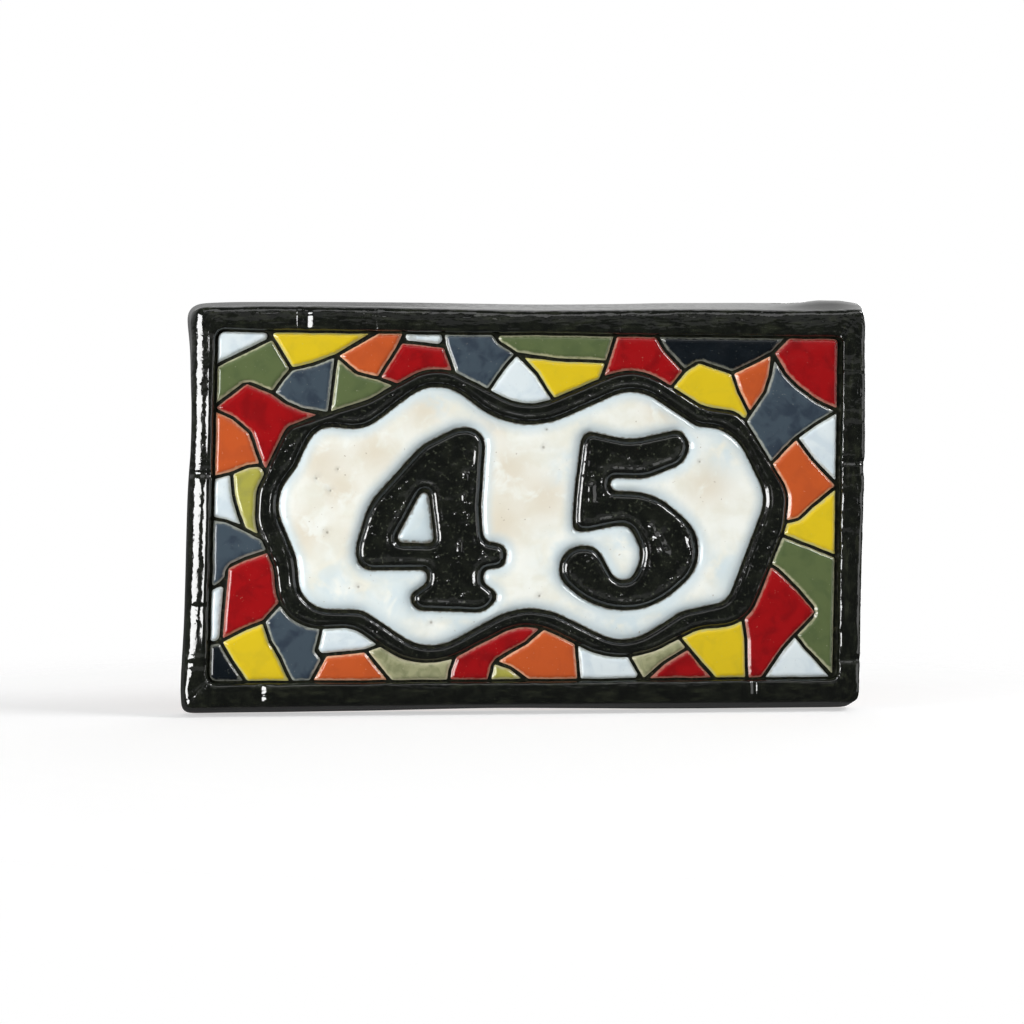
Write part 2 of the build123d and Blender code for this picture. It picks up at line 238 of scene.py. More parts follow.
# The camera: focal length, sensor, shift, the point it faces, and its distance and angles from there
LENS = 55.74
SENSOR = 36
SHIFT = (-0.0166, -0.0056)
AIM = (-0.0006, -0.00886, -0.000375)
DISTANCE = 0.3444
TURN = -4.97
TILT = -1.39


def area(loop):
    """Area inside a closed outline, positive if it runs anticlockwise."""
    ahead = np.roll(loop, -1, 0)
    return 0.5 * float(np.sum(loop[:, 0] * ahead[:, 1] - loop[:, 1] * ahead[:, 0]))


def anticlockwise(loop):
    """The outline with what it bounds on its left."""
    return loop if area(loop) > 0 else loop[::-1]


def resample(loop, step):
    """The closed outline at even spacing."""
    closed = np.vstack([loop, loop[:1]])
    along = np.concatenate([[0], np.cumsum(np.hypot(*np.diff(closed, axis=0).T))])
    count = max(16, round(along[-1] / step))
    where = np.arange(count) * along[-1] / count
    return np.column_stack([np.interp(where, along, closed[:, k]) for k in (0, 1)])


def smoothed(loop, passes):
    """The closed outline, or values along one, with corners and facets eased."""
    for _ in range(passes):
        loop = loop / 2 + (np.roll(loop, 1, 0) + np.roll(loop, -1, 0)) / 4
    return loop


def noise_at(points, size, seed):
    """Smooth noise of a given grain size at points, from about -1 to 1."""
    return np.array([noise.noise(Vector((x / size, z / size, seed))) for x, z in points])


def wavered(loop, amount, size, seed):
    """The outline as a hand would draw it."""
    shift = np.column_stack([noise_at(loop, size, seed), noise_at(loop, size, seed + 7.3)])
    return loop + amount * shift


def inside(points, loops):
    """Which points lie inside a region bounded by these outlines."""
    x, z = points[:, 0:1], points[:, 1:2]
    odd = np.zeros(len(points), bool)
    for loop in loops:
        a, b = loop, np.roll(loop, -1, 0)
        rise = b[:, 1] - a[:, 1]
        rise = np.where(rise == 0, 1e-12, rise)
        crosses = (a[:, 1] > z) != (b[:, 1] > z)
        odd ^= (crosses & (x < a[:, 0] + (z - a[:, 1]) * (b[:, 0] - a[:, 0]) / rise)).sum(1) % 2 == 1
    return odd


def left_normals(loop):
    """Unit normals to the left of a closed outline, which is inside the region it bounds."""
    ahead = np.roll(loop, -1, 0) - np.roll(loop, 1, 0)
    normal = np.column_stack([-ahead[:, 1], ahead[:, 0]])
    return normal / np.maximum(np.hypot(*normal.T), 1e-9)[:, None]


def tree_of(points):
    """Points sorted for quick search."""
    tree = kdtree.KDTree(len(points))
    for i, p in enumerate(points):
        tree.insert((p[0], p[1], 0), i)
    tree.balance()
    return tree


def nearest_on(points, loop):
    """For each point, the nearest place on a closed outline."""
    fine = resample(loop, 0.08)
    tree = tree_of(fine)
    return np.array([fine[tree.find((p[0], p[1], 0))[1]] for p in points])


def edge_distance(points, loops):
    """Distance from points to the nearest of the outlines."""
    samples = np.vstack(loops)
    before = np.vstack([np.roll(loop, 1, 0) for loop in loops])
    after = np.vstack([np.roll(loop, -1, 0) for loop in loops])
    tree = tree_of(samples)
    found = np.array([tree.find((p[0], p[1], 0))[1] for p in points])
    best = np.full(len(points), np.inf)
    for other in (before, after):
        a, b = samples[found], other[found]
        run = b - a
        share = np.clip(((points - a) * run).sum(1) / np.maximum((run * run).sum(1), 1e-12), 0, 1)
        best = np.minimum(best, np.hypot(*(points - a - run * share[:, None]).T))
    return best


def spread(points, places):
    """Soft bumps added up at points, from places given as across, up, amount and reach."""
    total = np.zeros(len(points))
    for across, up, amount, reach in places:
        gone = np.hypot(points[:, 0] - across, points[:, 1] - up) / reach
        total += amount * np.exp(-gone ** 2)
    return total


def run_distance(points, start, finish):
    """Distance from points to a straight run."""
    run = finish - start
    share = np.clip((points - start) @ run / (run @ run), 0, 1)
    return np.hypot(*(points - start - share[:, None] * run).T)


def drawn(across, up):
    """Where a point of the drawing lies on the plaque."""
    high = DRAWING_MIDDLE[1] + DRAWING_SCALE[1] * up
    return np.array([DRAWING_MIDDLE[0] + DRAWING_SCALE[0] * across + DRAWING_LEAN * high, high])


def crossing(a, b, c, d):
    """Where the line through two points meets the line through two others."""
    first, second = b - a, d - c
    turn = first[0] * second[1] - first[1] * second[0]
    if abs(turn) < 1e-6:
        return (b + c) / 2
    gap = c - a
    return a + first * (gap[0] * second[1] - gap[1] * second[0]) / turn


def turns(loop):
    """Angle turned at each corner of a closed outline, in degrees."""
    ahead = np.roll(loop, -1, 0) - loop
    angle = np.degrees(np.arctan2(ahead[:, 1], ahead[:, 0]))
    return (angle - np.roll(angle, 1) + 180) % 360 - 180


def sharpened(loop):
    """The outline with its nipped corners drawn out to points."""
    turn = turns(loop)
    count = len(loop)
    length = np.hypot(*(np.roll(loop, -1, 0) - loop).T)
    nip = [
        length[i] < NIP_LENGTH and min(turn[i], turn[(i + 1) % count]) > NIP_TURN
        and length[i - 1] > NIP_SIDE and length[(i + 1) % count] > NIP_SIDE
        for i in range(count)
    ]
    corners = []
    for i in range(count):
        if nip[i]:
            tip = crossing(loop[i - 1], loop[i], loop[(i + 1) % count], loop[(i + 2) % count])
            middle = (loop[i] + loop[(i + 1) % count]) / 2
            reach = min(1.0, NIP_REACH / max(np.hypot(*(tip - middle)), 1e-6))
            corners.append(middle + (tip - middle) * reach)
        elif not nip[i - 1]:
            corners.append(loop[i])
    return np.array(corners)


def spread_out(loop, amount):
    """A closed outline moved outwards with its corners kept."""
    ahead = np.roll(loop, -1, 0) - loop
    right = np.column_stack([ahead[:, 1], -ahead[:, 0]]) / np.hypot(*ahead.T)[:, None]
    both = right + np.roll(right, 1, 0)
    both = both / np.hypot(*both.T)[:, None]
    stretch = np.minimum(1 / np.maximum((both * right).sum(1), 0.2), 2.0)
    return loop + both * (amount * stretch)[:, None]


def walked(follow):
    """Closed walks through a table that gives the point after each point."""
    walks = []
    while follow:
        here, walk = next(iter(follow)), []
        while here in follow:
            walk.append(here)
            here = follow.pop(here)
        walks.append(walk)
    return walks


def flat_patches(mesh):
    """Flat patches of the solid: height to a list of patches, each a list of outlines, longest first."""
    co = np.empty(len(mesh.vertices) * 3)
    mesh.vertices.foreach_get("co", co)
    co = co.reshape(-1, 3) * 1000
    mesh.calc_loop_triangles()
    tri = np.empty(len(mesh.loop_triangles) * 3, int)
    mesh.loop_triangles.foreach_get("vertices", tri)
    ids = {}
    merged = np.array([ids.setdefault(tuple(p), len(ids)) for p in np.round(co, 3)])
    place = np.array(list(ids))
    tri = merged[tri].reshape(-1, 3)
    high = -place[:, 1]
    flat = tri[np.ptp(high[tri], axis=1) < 0.001]
    by_edge = {}
    for t, corners in enumerate(flat):
        for i in range(3):
            by_edge.setdefault(frozenset((corners[i - 1], corners[i])), []).append(t)
    seen = np.zeros(len(flat), bool)
    patches = {}
    for first in range(len(flat)):
        if seen[first]:
            continue
        todo, follow = [first], {}
        seen[first] = True
        while todo:
            t = todo.pop()
            for i in range(3):
                a, b = flat[t][i - 1], flat[t][i]
                others = [o for o in by_edge[frozenset((a, b))] if o != t]
                if not others:
                    follow[a] = b
                for o in others:
                    if not seen[o]:
                        seen[o] = True
                        todo.append(o)
        outlines = [place[walk][:, [0, 2]] for walk in walked(follow)]
        outlines.sort(key=lambda loop: -abs(area(loop)))
        patches.setdefault(round(float(high[flat[first][0]]), 2), []).append(outlines)
    return patches


# Outlines of the solid plaque
patches = flat_patches(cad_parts["plaque"].data)
levels = sorted(patches)
BACK, FLOOR, RIM_TOP = levels[0], levels[1], levels[-1]


def largest(level):
    """The largest outline among the flat patches of one height."""
    return anticlockwise(max((outlines[0] for outlines in patches[level]), key=lambda loop: abs(area(loop))))


field_loop = largest(FLOOR)
rim_loop = largest(RIM_TOP)
back_loop = anticlockwise(patches[BACK][0][0])


def held_in(points, gap):
    """Points held inside the box of the solid by a gap."""
    return np.clip(points, back_loop.min(0) + gap, back_loop.max(0) - gap)


def outer_edge():
    """Stations along the edge of the back, with the swells of a hand-made outline."""
    outer = smoothed(resample(back_loop, RIM_STEP), 4)
    outer = outer + left_normals(outer) * (EDGE_GAP * (1 + noise_at(outer, 14.0, seed=3.1)))[:, None]
    for across, up, out, over, reach in BULGES:
        gone = np.hypot(outer[:, 0] - across, outer[:, 1] - up) / reach
        outer = outer + np.exp(-gone ** 2)[:, None] * np.array([out, over])
    return smoothed(held_in(outer, EDGE_GAP), 6)


def inner_edge(outer):
    """For each station, where the rim meets the field: the field's outline, drawn in on each side."""
    near = np.array([INSIDE["left"], INSIDE["low"]])
    far = np.array([INSIDE["right"], INSIDE["top"]])
    low, high = field_loop.min(0), field_loop.max(0)
    brink = low + near + (field_loop - low) * (high - low - near - far) / (high - low)
    return wavered(smoothed(nearest_on(outer, brink), 8), 0.14, 4.0, seed=61.0)


def side_lean(outer):
    """How far the side leans out from the front of the rim to the back at each station."""
    lean = np.hypot(*(outer - nearest_on(outer, rim_loop)).T) - ROLL_INSET
    lean = smoothed(np.clip(lean, *LEAN_RANGE), 30)
    return np.maximum(lean - spread(outer, SWELLS), LEAST_LEAN)


def rim_dips(outer, right):
    """How far the top of the rim dips at each station, with its waves, lumps and nicks."""
    count = len(outer)
    dip = RIM_WAVES * (1 + noise_at(outer, 9.0, seed=5.5))
    dip = dip + RIM_RIPPLES * (1 + noise_at(outer, 2.2, seed=8.5))
    off_corners = np.clip((LUMPS_END - np.abs(outer[:, 1])) / LUMPS_FADE, 0, 1)
    lumpy = RIGHT_LUMPS * right * off_corners + spread(outer, LUMPS)
    dip = dip + lumpy * (1 + noise_at(outer, 1.5, seed=41.5))
    for across, up, width, depth in NICKS:
        home = int(np.argmin(np.hypot(outer[:, 0] - across, outer[:, 1] - up)))
        steps = np.abs((np.arange(count) - home + count // 2) % count - count // 2) * RIM_STEP
        hollow = np.exp(-(steps / width) ** 2)
        lips = np.exp(-((steps - 2 * width) / width) ** 2)
        dip = dip + depth * hollow - 0.3 * depth * lips
    return np.maximum(dip, 0)


def rolled_rim():
    """Stations round the plaque, each a run of points from the field over the rim to the back.

    Gives the rows of points, their heights and how far the glaze is brushed along the rim.
    """
    outer = outer_edge()
    inner = inner_edge(outer)
    outward = -left_normals(outer)
    left = np.clip(-outward[:, 0], 0, 1) ** 2
    right = np.clip(outward[:, 0], 0, 1) ** 2
    lean = side_lean(outer)
    belly = spread(outer, BELLIES)
    span = outer - inner
    length = np.hypot(*span.T)
    roll = length - lean
    edge = RIM_TOP - rim_dips(outer, right) - CROWN
    soft = ROLL_INSET + LEFT_SOFTER * left - RIGHT_SHARPER * right + 0.15 * noise_at(outer, 11.0, seed=9.9)
    soft = np.maximum(soft - spread(outer, SHARPER), SHARPEST)
    brow = INNER_ROLL + 0.2 * noise_at(outer, 7.0, seed=19.9) + 0.25 * noise_at(outer, 1.8, seed=23.9)
    dashes = np.clip(0.5 + 2.2 * noise_at(outer, 1.6, seed=51.0), 0, 1) * (1 - spread(outer, UNBROKEN))
    brow = brow * (1 - RIGHT_DASHES * right * (1 - dashes))
    steep = np.hypot(lean, RIM_TOP)
    zero = np.zeros(len(outer))
    rows, heights = [], []

    def put(along, high):
        rows.append(held_in(inner + span * (along / length)[:, None], ROW_GAP))
        heights.append(high)

    def bend(start, corner, finish, steps):
        for k in range(1, steps + 1):
            t = k / steps
            first, second, third = (1 - t) ** 2, 2 * t * (1 - t), t * t
            put(*[first * a + second * b + third * c for a, b, c in zip(start, corner, finish)])

    lip = (zero + LIP_OUT, zero + FLOOR + LIP_UP)
    put(zero, zero + FLOOR)
    put(*lip)
    bend(lip, (zero + 2 * LIP_OUT, edge), (brow, edge), 7)
    for share in (0.2, 0.4, 0.6, 0.8):
        put(brow + (roll - soft - brow) * share, edge + CROWN * 4 * share * (1 - share))
    put(roll - soft, edge)
    foot = (roll + soft * lean / steep, edge - soft * RIM_TOP / steep)
    bend((roll - soft, edge), (roll, edge), foot, 9)
    for share in SIDE_SHARES:
        put(foot[0] + (length - foot[0]) * share + belly * 4 * share * (1 - share), foot[1] * (1 - share))
    return rows, heights, 1 - LEFT_UNBRUSHED * left


def hand_drawn(loop, tremble):
    """The outline with the slow waver of a hand and a finer tremble."""
    return wavered(wavered(loop, 0.1, 5.0, seed=1.7), tremble, 1.5, seed=3.3)


def shard_outline(loop, limit):
    """A shard as drawn by hand, held inside the trench along the rim."""
    loop = resample(spread_out(sharpened(loop), GROWN["shard"]), STEP / 2)
    loop = hand_drawn(loop, SHARD_TREMBLE)
    over = ~inside(loop, [limit])
    if over.any():
        loop[over] = nearest_on(loop[over], limit)
    return smoothed(resample(loop, STEP), 1)


def line_outline(loop, grown):
    """An outline of the band, the panel or a numeral as drawn by hand."""
    loop = smoothed(resample(loop, STEP), 8)
    return hand_drawn(loop - left_normals(loop) * grown, LINE_TREMBLE)


def glaze_pools(limit):
    """Every pool of glaze: its kind, how far it rises over the field, its outlines and its glaze."""
    found = []
    for level in levels[2:-1]:
        for outlines in patches[level]:
            if level == levels[-2]:
                kind = "numeral"
            elif level == levels[-3]:
                kind = "panel"
            else:
                kind = "band" if len(outlines) > 1 else "shard"
            if kind == "shard":
                loops = [shard_outline(outlines[0], limit)]
            else:
                loops = [line_outline(loop, GROWN[kind]) for loop in outlines]
            found.append({"kind": kind, "rise": level - FLOOR, "loops": loops, "glaze": POOL_GLAZE[kind]})
    shards = [pool for pool in found if pool["kind"] == "shard"]
    for colour, spots in SHARD_COLOURS.items():
        for spot in spots:
            for pool in shards:
                if inside(drawn(*spot)[None], pool["loops"])[0]:
                    pool["glaze"] = colour
    return found


rim_rows, rim_heights, rim_brush = rolled_rim()
pools = glaze_pools(rim_rows[0] + left_normals(rim_rows[0]) * TRENCH)


class Thinner:
    """Keeps points that aren't too close to the ones kept before."""

    def __init__(self):
        self.cells = {}

    def keep(self, point, apart):
        """Keeps a point, if none that was kept is closer than this."""
        cx, cz = math.floor(point[0]), math.floor(point[1])
        for i in (-1, 0, 1):
            for j in (-1, 0, 1):
                for other in self.cells.get((cx + i, cz + j), ()):
                    if (other[0] - point[0]) ** 2 + (other[1] - point[1]) ** 2 < apart * apart:
                        return False
        self.cells.setdefault((cx, cz), []).append(point)
        return True


class Field:
    """Points of the field with what each belongs to, and the edges that outlines keep."""

    def __init__(self, outlines):
        self.points, self.owners, self.edges = [], [], []
        for loop, owner in outlines:
            start, count = len(self.points), len(loop)
            self.points.extend(loop)
            self.owners.extend([owner] * count)
            self.edges.extend((start + i, start + (i + 1) % count) for i in range(count))
        self.tree = tree_of(self.points)
        self.off_tone = Thinner()
        for p in self.points:
            self.off_tone.keep(p, 0)

    def add(self, candidates, loops, owner, away, apart):
        """Adds the points inside some outlines that are far enough from every outline and each other."""
        for p in candidates[inside(candidates, loops)]:
            if self.tree.find((p[0], p[1], 0))[2] > away and self.off_tone.keep(p, apart):
                self.points.append(p)
                self.owners.append(owner)


def pit_points(across, up, size):
    """The middle of a pin hole and two rings round it."""
    middle = drawn(across, up)
    angles = [math.tau * k / 7 for k in range(7)]
    ring = [middle + size * r * np.array([math.cos(a), math.sin(a)]) for r in (0.6, 1.3) for a in angles]
    return np.array([middle] + ring)


def run_points(start, finish, size):
    """A fine grid over a run of thick glaze."""
    begin, end = drawn(*start), drawn(*finish)
    low = np.minimum(begin, end) - 2 * size
    high = np.maximum(begin, end) + 2 * size
    columns = np.arange(low[0], high[0], STEP)
    fine = np.array([(x, z) for x in columns for z in np.arange(low[1], high[1], STEP)])
    return fine[run_distance(fine, begin, end) < 2 * size]


def fill_points(loop, gap):
    """Staggered points over the box of an outline, each moved a little."""
    low, high = loop.min(0), loop.max(0)
    columns = np.arange(low[0], high[0], gap)
    lines = np.arange(low[1], high[1], gap * 0.866)
    grid = [(x + (gap / 2 if k % 2 else 0), z) for k, z in enumerate(lines) for x in columns]
    shift = np.column_stack([noise_at(grid, 0.7, seed=2.2), noise_at(grid, 0.7, seed=6.2)])
    return np.array(grid) + 0.12 * shift


def field_points(inner):
    """The field inside the rim with all its points."""
    outlines = [(inner, ("rim", -1))]
    outlines += [(loop, ("edge", n)) for n, pool in enumerate(pools) for loop in pool["loops"]]
    field = Field(outlines)
    for n, pool in enumerate(pools):
        kind, loops, owner = pool["kind"], pool["loops"], ("pool", n)
        for loop in loops:
            middle = loop - left_normals(loop) * VALLEY
            field.add(middle, [inner], ("valley", -1), 0.85 * VALLEY, 0.25)
        for away in RINGS[kind]:
            for loop in loops:
                ring = loop + left_normals(loop) * away
                field.add(ring, loops, owner, 0.93 * away, 0.2 + 0.12 * away)
        if kind == "panel":
            for pit in PITS:
                field.add(pit_points(*pit), loops, owner, 0.3, 0.05)
        if kind == "numeral":
            for start, finish, size, _ in RUNS:
                field.add(run_points(start, finish, size), loops, owner, 0.3, 0.25)
        gap = FILL[kind]
        field.add(fill_points(loops[0], gap), loops, owner, RINGS[kind][-1] + 0.3 * gap, 0.55 * gap)
    return field


def pool_body(pool, where, depth, wave, ripple, grain):
    """Height of a pool over the field at points a given depth inside its edge."""
    kind = pool["kind"]
    share = np.clip(depth / SHOULDER[kind], 0, 1)
    swell = 1 - (1 - share) ** 3
    body = pool["rise"] * swell + WAVES * swell * wave + RIPPLES * swell * ripple
    if kind in SINK:
        ease = np.clip((depth - 0.95 * SHOULDER[kind]) / 0.7, 0, 1)
        ease = ease * ease * (3 - 2 * ease)
        body = body - SINK[kind] * (1 + 0.7 * ripple) * ease
        body = body + BEADS * grain * swell * (1 - ease)
    if kind == "panel":
        for across, up, size in PITS:
            gone = np.hypot(*(where - drawn(across, up)).T)
            body = body - PIT_DEPTH * np.exp(-(gone / size) ** 2)
    if kind == "numeral":
        for start, finish, size, thick in RUNS:
            gone = run_distance(where, drawn(*start), drawn(*finish))
            body = body + thick * swell * np.exp(-(gone / size) ** 2)
    return body


def field_heights(place, belongs):
    """Height of each point of the field, and its depth inside its pool, negative outside the pools."""
    pool_of = np.array([n if what == "pool" else -1 for what, n in belongs])
    edge_of = np.array([n if what == "edge" else -1 for what, n in belongs])
    away = edge_distance(place, [loop for pool in pools for loop in pool["loops"]])
    away = np.where(edge_of >= 0, 0, np.where(pool_of >= 0, away, -away))
    wave = noise_at(place, 6.5, seed=4.4)
    ripple = noise_at(place, 1.7, seed=14.4)
    grain = noise_at(place, 0.8, seed=24.4)
    height = FLOOR + LINE_GRAIN * grain + LINE_GRAIN * ripple
    for n, pool in enumerate(pools):
        mine = (pool_of == n) | (edge_of == n)
        height[mine] = FLOOR + pool_body(pool, place[mine], away[mine], wave[mine], ripple[mine], grain[mine])
        # The small eye of the 4 is painted all over with the bluish shade of the panel's edges.
        if pool["kind"] == "panel" and abs(area(pool["loops"][0])) < SMALL_PANEL:
            away[mine] *= EYE_SHADE_SHARE
    return height, away


def field_faces(place, belongs, triangles, inner):
    """Faces of the field inside the rim, and the finish of each."""
    faces, finish = [], []

    def within(corners, loops):
        return inside(place[corners].mean(0)[None], loops)[0]

    for corners in triangles:
        kinds = [belongs[i][0] for i in corners]
        owner = next((belongs[i][1] for i in corners if belongs[i][0] == "pool"), None)
        if owner is None and kinds.count("edge") == 3:
            n = belongs[corners[0]][1]
            if all(belongs[i][1] == n for i in corners) and within(corners, pools[n]["loops"]):
                owner = n
        if kinds.count("rim") == 3 and not within(corners, [inner]):
            continue
        faces.append(tuple(corners))
        finish.append("line" if owner is None else pools[owner]["glaze"])
    return faces, finish


def rim_faces(count, depth, index):
    """Faces over the rim from the field to the back, and the finish of each."""
    faces, finish = [], []
    for row in range(depth - 1):
        flank = row >= depth - 1 - len(SIDE_SHARES)
        for i in range(count):
            around = (index(row, i), index(row + 1, i), index(row + 1, i + 1), index(row, i + 1))
            faces.append(tuple(dict.fromkeys(around)))
            finish.append("line" if row == 0 else "flank" if flank else "rim")
    return faces, finish


def back_grid(outer):
    """Points over the back, clear of its edge."""
    grid = np.array([(x, z) for x in np.arange(-76, 77, BACK_STEP) for z in np.arange(-46, 47, BACK_STEP)])
    grid = grid[inside(grid, [outer])]
    return grid[np.hypot(*(grid - nearest_on(grid, outer)).T) > BACK_MARGIN]


def flat_vectors(points):
    """Points as flat vectors."""
    return [Vector((float(p[0]), float(p[1]))) for p in points]


def back_faces(outer, grid, start):
    """Faces of the back, whose points follow each other from a start: its edge and then its grid."""
    count = len(outer)
    back = flat_vectors(np.vstack([outer, grid]))
    ring = [(i, (i + 1) % count) for i in range(count)]
    _, _, triangles, source, _, _ = delaunay_2d_cdt(back, ring, [], 0, WELD)
    source = [s[0] for s in source]
    faces = []
    for corners in triangles:
        middle = np.mean([back[source[i]] for i in corners], axis=0)[None]
        if all(source[i] < count for i in corners) and not inside(middle, [outer])[0]:
            continue
        faces.append(tuple(start + source[i] for i in reversed(corners)))
    return faces


def brush_marks(total, base, rim_vertex):
    """Place along and across the rim at each point, and how far its glaze is brushed."""
    count = len(rim_rows[0])
    turn = np.arange(count) * math.tau / count
    reach = STROKE * count * RIM_STEP / math.tau
    streak = np.zeros((total, 3))
    brush = np.zeros(total)
    for row in range(1, len(rim_rows)):
        across = np.hypot(*(rim_rows[row] - rim_rows[0]).T)
        mine = slice(base + (row - 1) * count, base + row * count)
        streak[mine] = np.column_stack([reach * np.cos(turn), reach * np.sin(turn), across])
        brush[mine] = rim_brush
    for i, k in rim_vertex.items():
        streak[k] = (reach * math.cos(turn[i]), reach * math.sin(turn[i]), 0)
    return streak, brush


def build():
    """The whole plaque: points, heights, faces, each face's finish, and values at the points by name."""
    inner, outer = rim_rows[0], rim_rows[-1]
    count = len(inner)
    field = field_points(inner)
    out, _, triangles, source, _, _ = delaunay_2d_cdt(flat_vectors(field.points), field.edges, [], 0, WELD)
    place = np.array([(v.x, v.y) for v in out])
    belongs = [field.owners[s[0]] if s else ("valley", -1) for s in source]
    height, depth = field_heights(place, belongs)
    rim_vertex = {i: k for k, same in enumerate(source) for i in same if i < count}
    height[list(rim_vertex.values())] = FLOOR
    base = len(place)

    def index(row, i):
        if row == 0:
            return rim_vertex[i % count]
        return base + (row - 1) * count + i % count

    grid = back_grid(outer)
    where = np.vstack([place, *rim_rows[1:], grid])
    high = np.concatenate([height, *rim_heights[1:], 0.1 * (1 + noise_at(grid, 12.0, seed=31.0))])
    faces, finish = field_faces(place, belongs, triangles, inner)
    over, over_finish = rim_faces(count, len(rim_rows), index)
    back = back_faces(outer, grid, index(len(rim_rows) - 1, 0))
    streak, brush = brush_marks(len(where), base, rim_vertex)
    inset = np.concatenate([depth, np.full(len(where) - base, FULL_DEPTH)])
    values = {"inset": inset, "brush": brush, "streak": streak}
    return where, high, faces + over + back, finish + over_finish + ["clay"] * len(back), values


def linear(red, green, blue):
    """A colour seen on a screen, 0 to 255, as light."""
    def one(v):
        v = v / 255
        return v / 12.92 if v <= 0.04045 else ((v + 0.055) / 1.055) ** 2.4
    return (one(red), one(green), one(blue), 1)


class Finish:
    """A material and short ways to add and join its nodes."""

    def __init__(self, name):
        self.material = bpy.data.materials.new(name)
        self.material.use_nodes = True
        self.nodes = self.material.node_tree.nodes
        self.shader = self.nodes["Principled BSDF"]
        self.place = self.add("ShaderNodeTexCoord").outputs["Object"]

    def add(self, kind, inputs=None, **settings):
        """A new node with its settings and inputs."""
        node = self.nodes.new(kind)
        for name, value in settings.items():
            setattr(node, name, value)
        for name, value in (inputs or {}).items():
            self.put(node.inputs[name], value)
        return node

    def put(self, socket, value):
        """Joins a socket to another one, or gives it a plain value."""
        if isinstance(value, bpy.types.NodeSocket):
            self.material.node_tree.links.new(value, socket)
        else:
            socket.default_value = value

    def look(self, **values):
        """Sets or joins inputs of the shader, named with underscores for spaces."""
        for name, value in values.items():
            self.put(self.shader.inputs[name.replace("_", " ")], value)

    def grain(self, size, detail=3.0, seed=0.0, distortion=0.0):
        """Noise with grains of about this many millimetres."""
        moved = self.add("ShaderNodeVectorMath", {0: self.place, 1: (seed, seed * 0.7, seed * 1.3)})
        node = self.add("ShaderNodeTexNoise", {
            "Vector": moved.outputs[0], "Scale": 1000 / size, "Detail": detail, "Distortion": distortion})
        return node.outputs[0]

    def noted(self, name, output="Fac"):
        """A value kept at the points of the mesh."""
        return self.add("ShaderNodeAttribute", attribute_name=name).outputs[output]

    def ramp(self, value, low, high, to_low=0.0, to_high=1.0):
        """A value stretched from one range to another and held at its ends."""
        node = self.add("ShaderNodeMapRange", {
            "Value": value, "From Min": low, "From Max": high, "To Min": to_low, "To Max": to_high})
        node.interpolation_type = "SMOOTHSTEP"
        return node.outputs[0]

    def mix(self, factor, first, second):
        """One colour or another, by a factor."""
        node = self.add("ShaderNodeMix", data_type="RGBA", blend_type="MIX")
        self.put(node.inputs[0], factor)
        self.put(node.inputs[6], first)
        self.put(node.inputs[7], second)
        return node.outputs[2]

    def join(self, way, first, second):
        """Two values joined by arithmetic."""
        node = self.add("ShaderNodeMath", operation=way)
        self.put(node.inputs[0], first)
        self.put(node.inputs[1], second)
        return node.outputs[0]

    def times(self, *values):
        """Values multiplied together."""
        product = values[0]
        for value in values[1:]:
            product = self.join("MULTIPLY", product, value)
        return product

    def inset(self):
        """Depth inside the pool of glaze, in millimetres, with a ragged edge."""
        depth = self.noted("inset")
        return self.join("ADD", depth, self.ramp(self.grain(0.9, 3, 0.4), 0.3, 0.7, -0.1, 0.1))

    def bump(self, *layers):
        """Bump from pairs of height and depth in millimetres."""
        normal = None
        for height, depth in layers:
            node = self.add("ShaderNodeBump", {"Height": height, "Distance": depth / 1000, "Strength": 1.0})
            if normal is not None:
                self.put(node.inputs["Normal"], normal)
            normal = node.outputs[0]
        self.look(Normal=normal)


def glaze(name, colour, mottle, off_tone, amount=0.5, size=4.0, rough=0.09):
    """A glossy pool of coloured glaze that pales or browns at its edge, where it thins and where a highlight
    is painted.
    """
    f = Finish(name)
    cloud = f.ramp(f.grain(size, 4, len(name) * 0.31, 0.6), 0.42, 0.68)
    body = f.mix(f.times(cloud, amount), linear(*colour), linear(*mottle))
    # Painted highlight: the edge tone of the pool, broken into dashes, stands for light along its shoulder as
    # well as for the thinner glaze there.
    dashes = f.ramp(f.grain(1.7, 2, 6.1), 0.52, 0.66, 0.0, 0.5)
    edge = f.join("MAXIMUM", f.ramp(f.inset(), 0.1, 0.6), dashes)
    body = f.mix(edge, linear(*off_tone), body)
    speck = f.ramp(f.grain(0.55, 2, 2.2), 0.70, 0.76)
    body = f.mix(f.times(speck, 0.35), body, linear(*off_tone))
    gloss = f.ramp(f.grain(2.5, 3, 5.0), 0.3, 0.7, rough * 0.6, rough * 1.9)
    f.look(Base_Color=body, Roughness=gloss, IOR=1.5)
    f.bump((f.grain(3.2, 2, 1.0), 0.05), (f.grain(0.8, 2, 3.0), 0.012))
    return f.material


